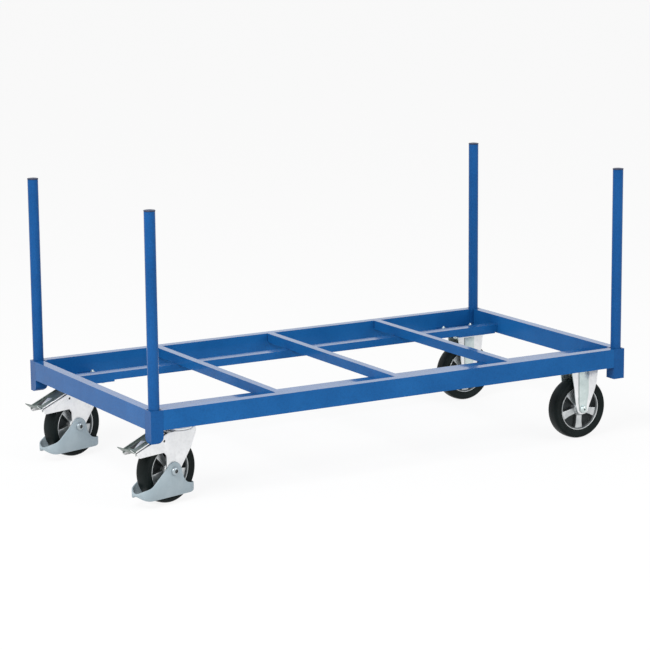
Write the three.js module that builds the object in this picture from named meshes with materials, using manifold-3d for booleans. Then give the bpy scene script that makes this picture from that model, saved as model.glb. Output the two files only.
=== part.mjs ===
// Stake cart: open steel frame, four lift-out corner stakes, two fixed and two swivel castors.
// Millimetres, +Z up, long side along X, origin on the floor under the middle of the cart.
import * as THREE from 'three';
import { mergeVertices } from 'three/addons/utils/BufferGeometryUtils.js';
import Module from 'manifold-3d';

const wasm = await Module();
wasm.setup();

// Clearances
const seam_gap = 0.3;
const turning_gap = 0.5;
const stake_gap = 0.35;
const crown_gap = 12;
const cut_allowance = 4;

// Frame
const frame_length = 1700;
const frame_width = 870;
const rail_depth = 60;
const rail_width = 30;
const rail_wall = 2.5;
const cross_width = 25;
const cross_height = 30;
const cross_wall = 2.5;
const cross_pitch_share = 0.246;
const cross_shift = 10;
const inner_width = 40;
const inner_wall = 2.5;
const inner_inset = 168;

// Corner sockets and stakes
const socket_side = 40;
const socket_wall = 2.8;
const socket_drop = 38;
const socket_foot = 9;
const socket_edge_radius = 19;
const stake_wall = 2.6;
const stake_rise = 580;
const cap_height = 5;
const cap_lip = 0.5;
const cap_plug_length = 14;

// Castor positions, measured in from the frame's ends and sides, and mounting
const fixed_castor_inset = 115;
const swivel_castor_inset = 132;
const castor_side_inset = 100;
const swivel_rest_degrees = 15;
const mount_plate_length = 149;
const mount_plate_thickness = 5;
const top_plate_length = 135;
const top_plate_width = 105;
const top_plate_thickness = 5;

// Wheels
const wheel_diameter = 200;
const tyre_width = 46;
const tyre_depth = 28;
const rim_width = 40;
const rim_wall = 7;
const rim_bevel = 4;
const rim_web = 6;
const hub_diameter = 48;
const spoke_depth = 30;
const axle_diameter = 16;
const axle_head_diameter = 26;
const axle_head_height = 8;
const nut_across_flats = 24;
const nut_height = 9;

// Forks
const fork_inside_width = 63;
const fork_thickness = 4;
const fork_rib_height = 2.5;
const trail = 46;
const swivel_leg_radius = 26;
const wing_drop = 5.3;
const race_height = 18;
const race_diameter = 96;
const crown_thickness = 5;
const kingpin_diameter = 20;
const kingpin_head_diameter = 38;
const kingpin_head_height = 6.5;

// Foot guard
const guard_wall = 4;
const guard_front_share = 0.96;
const guard_rear_share = 1.21;
const guard_dome_radius = 29;

// Brake pedal and shoe
const pedal_width = 60;
const pedal_tread_drop = 4.5;
const pedal_thickness = 3;
const pedal_side_depth = 14;
const pedal_pivot_share = 0.8;
const pedal_pivot_drop = 22;
const pedal_ear_radius = 8;
const trunnion_diameter = 7;
const arrow_height = 1.5;
const shoe_length = 36;
const shoe_width = 42;
const shoe_lift = 4;

// Counts and facet numbers
const cross_count = 3;
const spoke_count = 5;
const hex_sides = 6;
const pipe_facets = 28;
const wheel_facets = 40;
const bolt_facets = 20;
const arc_steps = 8;

// Derived heights and offsets
const wheel_radius = wheel_diameter / 2;
const rim_radius = wheel_radius - tyre_depth;
const crown_bottom = wheel_diameter + crown_gap;
const race_bottom = crown_bottom + crown_thickness;
const plate_bottom = race_bottom + race_height;
const castor_height = plate_bottom + top_plate_thickness;
const half_length = frame_length / 2;
const half_width = frame_width / 2;
const frame_bottom = castor_height;
const frame_top = frame_bottom + rail_depth;
const cross_bottom = frame_top - cross_height;
const socket_bottom = frame_bottom - socket_drop;
const socket_inner = socket_side - 2 * socket_wall;
const stake_diameter = socket_inner - 2 * stake_gap;
const socket_floor = socket_bottom + socket_foot;
const stake_bottom = socket_floor + seam_gap;
const stake_top = frame_top + stake_rise;
const castor_y = half_width - castor_side_inset;
const inner_centre_y = half_width - inner_inset;
const leg_inner = fork_inside_width / 2;
const leg_outer = leg_inner + fork_thickness;
const hub_half_length = leg_inner - seam_gap;
const guard_inner = leg_outer + seam_gap;
const guard_outer = guard_inner + guard_wall;
const guard_front_reach = wheel_radius * guard_front_share - trail;
const guard_rear_reach = wheel_radius * guard_rear_share + trail;
const swivel_turn = THREE.MathUtils.degToRad(swivel_rest_degrees);
const quarter_turn = Math.PI / 2;

// Colours read from the photo
const paint = { color: 0x235ea6, roughness: 0.42, metalness: 0.05 };
const zinc = { color: 0xd3dcdf, roughness: 0.34, metalness: 0.75 };
const rubber = { color: 0x17191a, roughness: 0.62, metalness: 0.0 };
const cast_aluminium = { color: 0xb9bec0, roughness: 0.4, metalness: 0.8 };
const guard_plastic = { color: 0x96a4ab, roughness: 0.55, metalness: 0.0 };
const dark_plastic = { color: 0x15305e, roughness: 0.5, metalness: 0.0 };
const pedal_steel = { color: 0x66766f, roughness: 0.45, metalness: 0.7 };
const dark_steel = { color: 0x3a3f42, roughness: 0.5, metalness: 0.6 };

// Solid helpers
function solidOf(geometry) {
  const plain = geometry.clone();
  plain.deleteAttribute('normal');
  plain.deleteAttribute('uv');
  const merged = mergeVertices(plain);
  return new wasm.Manifold(new wasm.Mesh({
    numProp: 3,
    vertProperties: new Float32Array(merged.attributes.position.array),
    triVerts: new Uint32Array(merged.index.array),
  }));
}

function geometryOf(solid) {
  const mesh = solid.getMesh();
  const geometry = new THREE.BufferGeometry();
  geometry.setAttribute('position', new THREE.BufferAttribute(new Float32Array(mesh.vertProperties), 3));
  geometry.setIndex(new THREE.BufferAttribute(new Uint32Array(mesh.triVerts), 1));
  geometry.computeVertexNormals();
  return geometry;
}

function boxBetween(low, high) {
  const size = high.map((value, axis) => value - low[axis]);
  const geometry = new THREE.BoxGeometry(...size);
  geometry.translate(...high.map((value, axis) => (value + low[axis]) / 2));
  return solidOf(geometry);
}

function extruded(points, depth) {
  const outline = points.map(([x, y]) => new THREE.Vector2(x, y));
  const shape = new THREE.Shape(outline);
  return new THREE.ExtrudeGeometry(shape, { depth, bevelEnabled: false, steps: 1 });
}

// Outline in X and Z, run across from y0 to y1
function sideSlab(points, y0, y1) {
  const geometry = extruded(points, y1 - y0);
  geometry.rotateX(quarter_turn);
  geometry.translate(0, y1, 0);
  return solidOf(geometry);
}

// Outline in Y and Z, run along from x0 to x1
function endSlab(points, x0, x1) {
  const geometry = extruded(points, x1 - x0);
  geometry.rotateX(quarter_turn);
  geometry.rotateZ(quarter_turn);
  geometry.translate(x0, 0, 0);
  return solidOf(geometry);
}

// Outline in X and Y, run up from z0 to z1
function planSlab(points, z0, z1) {
  const geometry = extruded(points, z1 - z0);
  geometry.translate(0, 0, z0);
  return solidOf(geometry);
}

function uprightCylinder(diameter, z0, z1, facets, x = 0, y = 0) {
  const geometry = new THREE.CylinderGeometry(diameter / 2, diameter / 2, z1 - z0, facets);
  geometry.rotateX(quarter_turn);
  geometry.translate(x, y, (z0 + z1) / 2);
  return solidOf(geometry);
}

function acrossCylinder(diameter, y0, y1, facets, x = 0, z = 0) {
  const geometry = new THREE.CylinderGeometry(diameter / 2, diameter / 2, y1 - y0, facets);
  geometry.translate(x, (y0 + y1) / 2, z);
  return solidOf(geometry);
}

// Closed section of radius and height turned about the upright axis
function turnedUpright(section, facets) {
  const geometry = new THREE.LatheGeometry(section.map(([r, h]) => new THREE.Vector2(r, h)), facets);
  geometry.rotateX(quarter_turn);
  return solidOf(geometry);
}

// Closed section of radius and offset turned about the wheel's axle
function turnedAcross(section, facets, x, z) {
  const geometry = new THREE.LatheGeometry(section.map(([r, w]) => new THREE.Vector2(r, w)), facets);
  geometry.translate(x, 0, z);
  return solidOf(geometry);
}

function arcPoints(cx, cy, radius, from_degrees, to_degrees) {
  const points = [];
  for (let step = 0; step <= arc_steps; step += 1) {
    const share = step / arc_steps;
    const angle = THREE.MathUtils.degToRad(from_degrees + (to_degrees - from_degrees) * share);
    points.push([cx + radius * Math.cos(angle), cy + radius * Math.sin(angle)]);
  }
  return points;
}

// Parts are collected here with their place in the cart
const part = new THREE.Group();

function addPart(name, solid, look, place = {}) {
  const geometry = geometryOf(solid);
  if (place.turn) geometry.rotateZ(place.turn);
  geometry.translate(place.x || 0, place.y || 0, 0);
  const mesh = new THREE.Mesh(geometry, new THREE.MeshStandardMaterial(look));
  mesh.name = name;
  part.add(mesh);
}

const axis_x = 0;
const axis_y = 1;

// Rectangular tube between two corners, open at both ends along the axis given
function boxTube(low, high, wall, axis) {
  const bore_low = low.map((value, index) => (index === axis ? value - cut_allowance : value + wall));
  const bore_high = high.map((value, index) => (index === axis ? value + cut_allowance : value - wall));
  return boxBetween(low, high).subtract(boxBetween(bore_low, bore_high));
}

function inOrder(first, second) {
  return [Math.min(first, second), Math.max(first, second)];
}

function sideRail(side) {
  const reach = half_length - socket_side - seam_gap;
  const [near, far] = inOrder(side * half_width, side * (half_width - rail_width));
  return boxTube([-reach, near, frame_bottom], [reach, far, frame_top], rail_wall, axis_x);
}

function endMember(side) {
  const reach = half_width - socket_side - seam_gap;
  const [left, right] = inOrder(side * half_length, side * (half_length - rail_width));
  return boxTube([left, -reach, frame_bottom], [right, reach, frame_top], rail_wall, axis_y);
}

function crossmember() {
  const reach = half_width - rail_width - seam_gap;
  const half = cross_width / 2;
  return boxTube([-half, -reach, cross_bottom], [half, reach, frame_top], cross_wall, axis_y);
}

function innerMember() {
  const reach = half_length - rail_width - seam_gap;
  const half = inner_width / 2;
  const low = frame_bottom + mount_plate_thickness + seam_gap;
  const top = cross_bottom - seam_gap;
  return boxTube([-reach, -half, low], [reach, half, top], inner_wall, axis_x);
}

// Plate that reaches from under an inner member to a rail and takes a castor's four bolts
function mountPlate(side) {
  const half = mount_plate_length / 2;
  const inner = inner_centre_y - inner_width / 2;
  const outer = half_width - rail_width - seam_gap;
  const [near, far] = inOrder(side * inner, side * outer);
  return boxBetween([-half, near, frame_bottom], [half, far, frame_bottom + mount_plate_thickness]);
}

// Square socket tube with a solid foot, its lower edges rounded where the castor swings past
function socketOutline(rounded_side) {
  const half = socket_side / 2;
  const points = [[-half, frame_top], [-half, socket_bottom]];
  if (rounded_side) {
    const centre = half - socket_edge_radius;
    points.push(...arcPoints(centre, socket_bottom + socket_edge_radius, socket_edge_radius, -90, 0));
  } else {
    points.push([half, socket_bottom]);
  }
  points.push([half, frame_top]);
  return points;
}

function mirrored(points, side) {
  return side > 0 ? points : points.map(([x, y]) => [-x, y]).reverse();
}

function socket(end, side) {
  const half = socket_side / 2;
  const swings = end < 0;
  const along = sideSlab(mirrored(socketOutline(swings), -end), -half, half);
  const across = endSlab(mirrored(socketOutline(swings), -side), -half, half);
  const hollow = socket_inner / 2;
  const bore = boxBetween([-hollow, -hollow, socket_floor], [hollow, hollow, frame_top + cut_allowance]);
  return along.intersect(across).subtract(bore);
}

function stake() {
  const bore = stake_diameter - 2 * stake_wall;
  const outside = uprightCylinder(stake_diameter, stake_bottom, stake_top, pipe_facets);
  const inside_low = stake_bottom - cut_allowance;
  const inside = uprightCylinder(bore, inside_low, stake_top + cut_allowance, pipe_facets);
  return outside.subtract(inside);
}

// Domed plug that closes the top of a stake
function stakeCap() {
  const bore = stake_diameter - 2 * stake_wall;
  const plug = bore / 2 - turning_gap;
  const lip = stake_diameter / 2 + cap_lip;
  const seat = stake_top + seam_gap;
  const edge = cap_height / 2;
  const section = [[0, stake_top - cap_plug_length], [plug, stake_top - cap_plug_length], [plug, seat],
    [lip, seat], [lip, seat + edge], [lip - edge, seat + cap_height], [0, seat + cap_height]];
  return turnedUpright(section, pipe_facets);
}

// Tyre section as shares of the tyre's depth and of its half width
const tyre_section_shares = [[0.14, 0.88], [0.36, 0.96], [0.5, 1.0], [0.79, 1.0], [0.93, 0.88], [0.98, 0.5]];

function tyre(x) {
  const bore = rim_radius + seam_gap;
  const bead = rim_width / 2;
  const half = tyre_width / 2;
  const flank = tyre_section_shares.map(([r, w]) => [rim_radius + r * tyre_depth, w * half]);
  const other = flank.map(([r, w]) => [r, -w]).reverse();
  const section = [[bore, -bead], [bore, bead], ...flank, [wheel_radius, 0], ...other, [bore, -bead]];
  return turnedAcross(section.reverse(), wheel_facets, x, wheel_radius);
}

// Cast rim: hub tube, thin web, outer ring and broad spokes as one casting
function rim(x) {
  const bore = axle_diameter / 2 + turning_gap;
  const hub = hub_diameter / 2;
  const hub_end = hub_half_length;
  const web = rim_web / 2;
  const ring = rim_radius - rim_wall;
  const ring_end = rim_width / 2;
  const half_section = [[bore, hub_end], [hub, hub_end], [hub, web], [ring, web],
    [ring, ring_end - rim_bevel], [ring + rim_bevel, ring_end], [rim_radius, ring_end]];
  const other = half_section.map(([r, w]) => [r, -w]).reverse();
  const section = [...half_section, ...other, half_section[0]];
  let casting = turnedAcross(section.reverse(), wheel_facets, x, wheel_radius);
  for (let index = 0; index < spoke_count; index += 1) {
    casting = casting.add(spoke(x, (index + spoke_start_share) / spoke_count));
  }
  return casting;
}

const spoke_start_share = 0.75;
const spoke_root_share = 0.3;
const spoke_tip_share = 0.42;

function spoke(x, turn_share) {
  const root = hub_diameter / 2 - cut_allowance;
  const tip = rim_radius - rim_wall / 2;
  const root_half = rim_radius * spoke_root_share / 2;
  const tip_half = rim_radius * spoke_tip_share / 2;
  const outline = [[root, -root_half], [tip, -tip_half], [tip, tip_half], [root, root_half]];
  const geometry = extruded(outline, spoke_depth);
  geometry.translate(0, 0, -spoke_depth / 2);
  geometry.rotateZ(turn_share * 2 * Math.PI);
  geometry.rotateX(quarter_turn);
  geometry.translate(x, 0, wheel_radius);
  return solidOf(geometry);
}

// Axle bolt with a domed head on the near side and its shaft through to the nut
function axleBolt(x, clamp_half) {
  const shaft = axle_diameter / 2;
  const head = axle_head_diameter / 2;
  const seat = clamp_half + seam_gap;
  const end = seat + nut_height + cut_allowance;
  const crown = seat + axle_head_height;
  const brow = seat + axle_head_height / 2;
  const section = [[0, end], [shaft - seam_gap, end], [shaft - seam_gap, -seat], [head, -seat],
    [head, -brow], [head - axle_head_height / 2, -crown], [0, -crown]];
  return turnedAcross(section.reverse(), bolt_facets, x, wheel_radius);
}

function axleNut(x, clamp_half) {
  const seat = clamp_half + seam_gap;
  const corner = nut_across_flats / Math.cos(Math.PI / hex_sides);
  const blank = acrossCylinder(corner, seat, seat + nut_height, hex_sides, x, wheel_radius);
  const bore_end = seat + nut_height + cut_allowance;
  const bore = acrossCylinder(axle_diameter + seam_gap, seat - cut_allowance, bore_end, bolt_facets,
    x, wheel_radius);
  return blank.subtract(bore);
}

function axleHole(x) {
  const reach = guard_outer + cut_allowance;
  return acrossCylinder(axle_diameter + seam_gap, -reach, reach, bolt_facets, x, wheel_radius);
}

// Fork outlines: along as a share of the wheel radius, up as a share of the way from axle to top
function legPoints(shares, top) {
  const rise = top - wheel_radius;
  return shares.map(([along, up]) => [along * wheel_radius, wheel_radius + up * rise]);
}

// Fixed fork: pressed top plate with two ribbed legs
const fixed_leg_foot_shares = [0.22, 0.17];
const fixed_leg_front_shares = [[0.27, 0.1], [0.53, 0.535], [0.61, 0.965]];
const fixed_leg_rear_shares = [[-0.44, 0.965], [-0.34, 0.535], [-0.27, 0.1]];
const fixed_rib_shares = [[0.14, 0.015], [0.22, 0.92], [-0.26, 0.92], [-0.14, 0.015]];

function fixedLeg(side) {
  const [foot_half, foot_drop] = fixed_leg_foot_shares.map((share) => share * wheel_radius);
  const foot = arcPoints(0, 0, 1, -180, 0).map(([x, z]) => [x * foot_half, wheel_radius + z * foot_drop]);
  const front = legPoints(fixed_leg_front_shares, plate_bottom);
  const rear = legPoints(fixed_leg_rear_shares, plate_bottom);
  const root = plate_bottom + top_plate_thickness / 2;
  const top = [[front[front.length - 1][0], root], [rear[0][0], root]];
  const leg = sideSlab([...foot, ...front, ...top, ...rear], ...inOrder(side * leg_inner, side * leg_outer));
  const rib_outer = leg_outer + fork_rib_height;
  const rib_inner = leg_inner + fork_thickness / 2;
  const rib_outline = legPoints(fixed_rib_shares, plate_bottom);
  return leg.add(sideSlab(rib_outline, ...inOrder(side * rib_outer, side * rib_inner)));
}

function fixedFork() {
  const half = top_plate_length / 2;
  const wide = top_plate_width / 2;
  const top = castor_height - seam_gap;
  const plate = boxBetween([-half, -wide, plate_bottom], [half, wide, top]);
  return plate.add(fixedLeg(1)).add(fixedLeg(-1)).subtract(axleHole(0));
}

// Swivel castor top plate with the hole for its kingpin
function swivelPlate() {
  const half = top_plate_length / 2;
  const wide = top_plate_width / 2;
  const body = boxBetween([-half, -wide, plate_bottom], [half, wide, castor_height - seam_gap]);
  return body.subtract(kingpinHole());
}

function kingpinHole() {
  const low = crown_bottom - cut_allowance;
  const high = castor_height + cut_allowance;
  return uprightCylinder(kingpin_diameter + seam_gap * 2, low, high, bolt_facets);
}

const race_waist_share = 0.9;

function swivelRace() {
  const outer = race_diameter / 2;
  const bore = kingpin_diameter / 2 + seam_gap;
  const low = race_bottom + seam_gap;
  const high = plate_bottom - seam_gap;
  const middle = (low + high) / 2;
  const waist = outer * race_waist_share;
  const section = [[bore, low], [waist, low], [outer, middle], [outer, high], [bore, high], [bore, low]];
  return turnedUpright(section, pipe_facets);
}

function kingpin() {
  const shaft = kingpin_diameter / 2;
  const head = kingpin_head_diameter / 2;
  const seat = crown_bottom - seam_gap;
  const low = seat - kingpin_head_height;
  const edge = kingpin_head_height / 2;
  const section = [[0, low], [head - edge, low], [head, low + edge], [head, seat], [shaft, seat],
    [shaft, castor_height - seam_gap * 2], [0, castor_height - seam_gap * 2]];
  return turnedUpright(section, bolt_facets);
}

// Pedal line: top of its side cheeks, inner end, outer end and lip, with shares as in the fork outlines
const pedal_inner_share = [-0.74, 1.019];
const pedal_outer_share = [-1.85, 0.694];
const pedal_lip_share = [-2.06, 0.778];

function pedalPoint(shares, drop = 0) {
  const [x, z] = legPoints([shares], race_bottom)[0];
  return [x, z - drop];
}

// The pivot hangs a set drop below the pedal line
function pedalPivot() {
  const inner = pedalPoint(pedal_inner_share);
  const outer = pedalPoint(pedal_outer_share);
  const x = -wheel_radius * pedal_pivot_share;
  const share = (x - inner[0]) / (outer[0] - inner[0]);
  return [x, inner[1] + (outer[1] - inner[1]) * share - pedal_pivot_drop];
}

const swivel_leg_rear_shares = [[-1.84, 0.65], [-1.78, 0.513], [-0.82, 0.521], [-0.75, 0.5], [-0.72, 0.427]];
const swivel_leg_front_shares = [[0.24, 0.513], [0.45, 0.9]];

// Side of the swivel fork: leg, shoulder under the crown and wing beside the pedal
function swivelLegOutline() {
  const foot = arcPoints(-trail, wheel_radius, swivel_leg_radius, -180, 0);
  const front = legPoints(swivel_leg_front_shares, race_bottom);
  const rear = legPoints(swivel_leg_rear_shares, race_bottom);
  const front_x = front[front.length - 1][0];
  const wing_top = pedalPoint(pedal_inner_share, wing_drop);
  const shoulder = [wing_top[0] + wing_drop * 2, race_bottom];
  return [...foot, ...front, [front_x, race_bottom], shoulder, wing_top, ...rear];
}

function swivelFork() {
  const outline = swivelLegOutline();
  const near = sideSlab(outline, -leg_outer, -leg_inner);
  const far = sideSlab(outline, leg_inner, leg_outer);
  const crown_back = -race_diameter / 2 - cut_allowance;
  const crown_front = swivel_leg_front_shares[1][0] * wheel_radius;
  const crown_half = leg_inner + fork_thickness / 2;
  const crown = boxBetween([crown_back, -crown_half, crown_bottom], [crown_front, crown_half, race_bottom]);
  const disc = uprightCylinder(race_diameter, crown_bottom, race_bottom, pipe_facets);
  const trunnion_hole = acrossCylinder(trunnion_diameter + seam_gap * 2, -guard_outer, guard_outer,
    bolt_facets, ...pedalPivot());
  return near.add(far).add(crown).add(disc).subtract(axleHole(-trail)).subtract(kingpinHole())
    .subtract(trunnion_hole);
}

// Stadium plan of the foot guard, rounded at both ends
function stadium(half, rear, front) {
  const front_arc = arcPoints(front - half, 0, half, -90, 90);
  const rear_arc = arcPoints(-rear + half, 0, half, 90, 270);
  return [...front_arc, ...rear_arc];
}

// Guard edges as shares of its reach and of the wheel radius, and the span of its dome in degrees
const guard_front_shares = [[0.56, 0.24], [0.82, 0.29], [0.96, 0.37], [1.02, 0.48], [0.6, 0.51],
  [0.08, 0.57], [-0.2, 0.74]];
const guard_rear_shares = [[0.78, 0.655], [0.875, 0.585], [0.945, 0.57], [0.995, 0.47], [0.995, 0.29],
  [0.965, 0.24]];
const dome_degrees = [5, 135];

// Side view of the guard: low band all round with a dome over each end of the axle
function guardOutline() {
  const dome = arcPoints(-trail, wheel_radius, guard_dome_radius, ...dome_degrees);
  const front = guard_front_shares.map(([x, z]) => [x * guard_front_reach, z * wheel_radius]);
  const rear = guard_rear_shares.map(([x, z]) => [-x * guard_rear_reach, z * wheel_radius]);
  return [...front, ...dome, ...rear];
}

function footGuard() {
  const top = wheel_radius + guard_dome_radius * 2;
  const outer = planSlab(stadium(guard_outer, guard_rear_reach, guard_front_reach), 0, top);
  const inner_rear = guard_rear_reach - guard_wall;
  const inner_front = guard_front_reach - guard_wall;
  const inner = planSlab(stadium(guard_inner, inner_rear, inner_front), -cut_allowance, top + cut_allowance);
  const reach = guard_outer + cut_allowance;
  const silhouette = sideSlab(guardOutline(), -reach, reach);
  return outer.subtract(inner).intersect(silhouette).subtract(axleHole(-trail));
}

// Pedal: sloping tread, turned-up lip, side cheeks, ears on trunnions and an embossed arrow
function pedalTread() {
  const inner = pedalPoint(pedal_inner_share, pedal_tread_drop);
  const outer = pedalPoint(pedal_outer_share, pedal_tread_drop);
  const lip = pedalPoint(pedal_lip_share);
  const half = pedal_width / 2;
  const under = ([x, z]) => [x, z - pedal_thickness];
  return sideSlab([under(lip), under(outer), under(inner), inner, outer, lip], -half, half);
}

// Ear hanging from a cheek, round about the pivot
function pedalEar() {
  const [x, z] = pedalPivot();
  const root = z + pedal_pivot_drop - pedal_side_depth / 2;
  const round = arcPoints(x, z, pedal_ear_radius, -180, 0);
  return [...round, [x + pedal_ear_radius, root], [x - pedal_ear_radius, root]];
}

function pedalCheek(side) {
  const half = pedal_width / 2;
  const [near, far] = inOrder(side * (half - pedal_thickness), side * half);
  const low_outer = pedalPoint(pedal_outer_share, pedal_side_depth);
  const low_inner = pedalPoint(pedal_inner_share, pedal_side_depth);
  const high_inner = pedalPoint(pedal_inner_share);
  const high_outer = pedalPoint(pedal_outer_share);
  const cheek = sideSlab([low_outer, low_inner, high_inner, high_outer], near, far);
  const ear = sideSlab(pedalEar(), near, far);
  const [pin_near, pin_far] = inOrder(side * (half - pedal_thickness / 2), side * (leg_outer - turning_gap));
  const trunnion = acrossCylinder(trunnion_diameter, pin_near, pin_far, bolt_facets, ...pedalPivot());
  return cheek.add(ear).add(trunnion);
}

const arrow_span_share = [0.12, 0.52];
const arrow_half_share = 0.3;

function pedalArrow() {
  const outer = pedalPoint(pedal_outer_share, pedal_tread_drop);
  const inner = pedalPoint(pedal_inner_share, pedal_tread_drop);
  const run = Math.hypot(inner[0] - outer[0], inner[1] - outer[1]);
  const slope = Math.atan2(inner[1] - outer[1], inner[0] - outer[0]);
  const [tip, back] = arrow_span_share.map((share) => share * run);
  const half = pedal_width * arrow_half_share;
  const geometry = extruded([[tip, 0], [back, -half], [back, half]], arrow_height * 2);
  geometry.translate(0, 0, -arrow_height);
  geometry.rotateY(-slope);
  geometry.translate(outer[0], 0, outer[1]);
  return solidOf(geometry);
}

function brakePedal() {
  return pedalTread().add(pedalCheek(1)).add(pedalCheek(-1)).add(pedalArrow());
}

// Brake shoe over the tyre, below the crown
function brakeShoe() {
  const half = shoe_length / 2;
  const wide = shoe_width / 2;
  const low = wheel_diameter + shoe_lift;
  return boxBetween([-trail - half, -wide, low], [-trail + half, wide, crown_bottom - seam_gap]);
}

function addFrame() {
  addPart('rail_front', sideRail(-1), paint);
  addPart('rail_back', sideRail(1), paint);
  addPart('end_member_left', endMember(-1), paint);
  addPart('end_member_right', endMember(1), paint);
  for (let index = 0; index < cross_count; index += 1) {
    const x = cross_shift + (index - (cross_count - 1) / 2) * frame_length * cross_pitch_share;
    addPart(`crossmember_${index + 1}`, crossmember(), paint, { x });
  }
  addPart('inner_member_front', innerMember(), paint, { y: -inner_centre_y });
  addPart('inner_member_back', innerMember(), paint, { y: inner_centre_y });
}

const sides = [['front', -1], ['back', 1]];
const ends = [['left', -1], ['right', 1]];

function addCorners() {
  for (const [side_name, side] of sides) {
    for (const [end_name, end] of ends) {
      const corner = `${side_name}_${end_name}`;
      const place = { x: end * (half_length - socket_side / 2), y: side * (half_width - socket_side / 2) };
      addPart(`socket_${corner}`, socket(end, side), paint, place);
      addPart(`stake_${corner}`, stake(), paint, place);
      addPart(`stake_cap_${corner}`, stakeCap(), dark_plastic, place);
      const mount_x = end > 0 ? half_length - fixed_castor_inset : -(half_length - swivel_castor_inset);
      addPart(`mount_plate_${corner}`, mountPlate(side), paint, { x: mount_x });
    }
  }
}

function addFixedCastors() {
  for (const [name, side] of sides) {
    const place = { x: half_length - fixed_castor_inset, y: side * castor_y };
    const clamp_half = leg_outer + fork_rib_height;
    addPart(`fixed_fork_${name}`, fixedFork(), zinc, place);
    addPart(`fixed_tyre_${name}`, tyre(0), rubber, place);
    addPart(`fixed_rim_${name}`, rim(0), cast_aluminium, place);
    addPart(`fixed_axle_bolt_${name}`, axleBolt(0, clamp_half), zinc, place);
    addPart(`fixed_axle_nut_${name}`, axleNut(0, clamp_half), zinc, place);
  }
}

function addSwivelCastors() {
  for (const [name, side] of sides) {
    const square = { x: -(half_length - swivel_castor_inset), y: side * castor_y };
    const turned = { ...square, turn: swivel_turn };
    addPart(`swivel_plate_${name}`, swivelPlate(), zinc, square);
    addPart(`swivel_race_${name}`, swivelRace(), zinc, square);
    addPart(`kingpin_${name}`, kingpin(), zinc, square);
    addPart(`swivel_fork_${name}`, swivelFork(), zinc, turned);
    addPart(`swivel_tyre_${name}`, tyre(-trail), rubber, turned);
    addPart(`swivel_rim_${name}`, rim(-trail), cast_aluminium, turned);
    addPart(`swivel_axle_bolt_${name}`, axleBolt(-trail, guard_outer), zinc, turned);
    addPart(`swivel_axle_nut_${name}`, axleNut(-trail, guard_outer), zinc, turned);
    addPart(`foot_guard_${name}`, footGuard(), guard_plastic, turned);
    addPart(`brake_pedal_${name}`, brakePedal(), pedal_steel, turned);
    addPart(`brake_shoe_${name}`, brakeShoe(), dark_steel, turned);
  }
}

addFrame();
addCorners();
addFixedCastors();
addSwivelCastors();

// The origin stands on the floor under the middle of the whole cart, pedals included
const extent = new THREE.Box3().setFromObject(part);
part.position.x = -(extent.min.x + extent.max.x) / 2;
part.updateMatrixWorld(true);

export default part;
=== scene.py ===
import math

import bmesh
import bpy
from mathutils import Matrix, Vector


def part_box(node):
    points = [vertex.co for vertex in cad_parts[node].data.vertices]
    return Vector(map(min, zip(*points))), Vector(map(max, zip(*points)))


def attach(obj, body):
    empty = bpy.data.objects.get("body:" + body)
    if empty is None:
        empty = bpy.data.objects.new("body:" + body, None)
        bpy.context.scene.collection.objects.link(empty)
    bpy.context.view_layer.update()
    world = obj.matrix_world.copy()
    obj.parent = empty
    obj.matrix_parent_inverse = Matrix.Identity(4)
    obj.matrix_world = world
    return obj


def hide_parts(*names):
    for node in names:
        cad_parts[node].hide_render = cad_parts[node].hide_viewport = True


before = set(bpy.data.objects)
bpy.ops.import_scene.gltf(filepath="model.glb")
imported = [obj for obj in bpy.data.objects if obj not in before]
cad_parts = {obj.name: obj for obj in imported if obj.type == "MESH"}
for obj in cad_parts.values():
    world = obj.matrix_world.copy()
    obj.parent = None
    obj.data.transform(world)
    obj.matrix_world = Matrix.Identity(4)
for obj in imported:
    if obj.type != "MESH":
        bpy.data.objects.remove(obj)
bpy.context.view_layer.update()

# Stake cart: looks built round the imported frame. Shapes are written in millimetres.
MM = 0.001
TAU = 2 * math.pi
X, Y, Z = range(3)
SIDES = (("front", -1), ("back", 1))
ENDS = (("left", -1), ("right", 1))
CORNERS = [f"{side}_{end}" for side, _ in SIDES for end, _ in ENDS]


# Sizes read from the frame
def box_mm(node):
    low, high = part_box(node)
    return low / MM, high / MM


def faces_of(node, axis):
    """Where a node starts and ends along an axis, to two decimals."""
    low, high = box_mm(node)
    return round(low[axis], 2), round(high[axis], 2)


def width_of(node, axis):
    low, high = box_mm(node)
    return round(high[axis] - low[axis], 2)


def centre_of(node):
    low, high = box_mm(node)
    return (low.x + high.x) / 2, (low.y + high.y) / 2


RAIL_BOTTOM, RAIL_TOP = faces_of("rail_front", Z)
STAKE_LOW, STAKE_TOP = faces_of("stake_front_left", Z)
STAKE_R = width_of("stake_front_left", X) / 2
WHEEL_R = width_of("fixed_tyre_front", Z) / 2
RIM_R = width_of("fixed_rim_front", Z) / 2
HUB_HALF = width_of("fixed_rim_front", Y) / 2
PLATE_LOW, PLATE_TOP = faces_of("swivel_plate_front", Z)
PLATE_LONG = width_of("swivel_plate_front", X) / 2
PLATE_WIDE = width_of("swivel_plate_front", Y) / 2
CROWN_TOP = faces_of("swivel_fork_front", Z)[1]
MOUNT_TOP = faces_of("mount_plate_front_left", Z)[1]

# Sizes that the frame's boxes don't give
SEAM = 0.3
STAKE_WALL = 2.6
HUB_R = 24
AXLE_R, AXLE_BORE_R = 7.7, 8.15
PIN_R, PIN_BORE_R = 10, 10.3
LEG_IN, LEG_OUT = 31.5, 35.5
RIB_FACE = LEG_OUT + 2.5
GUARD_IN, GUARD_OUT = 35.8, 39.8
TRAIL = 46
CROWN_LOW = 212
CASTOR_TURN = math.radians(15)
OVERRUN = 12


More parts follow.
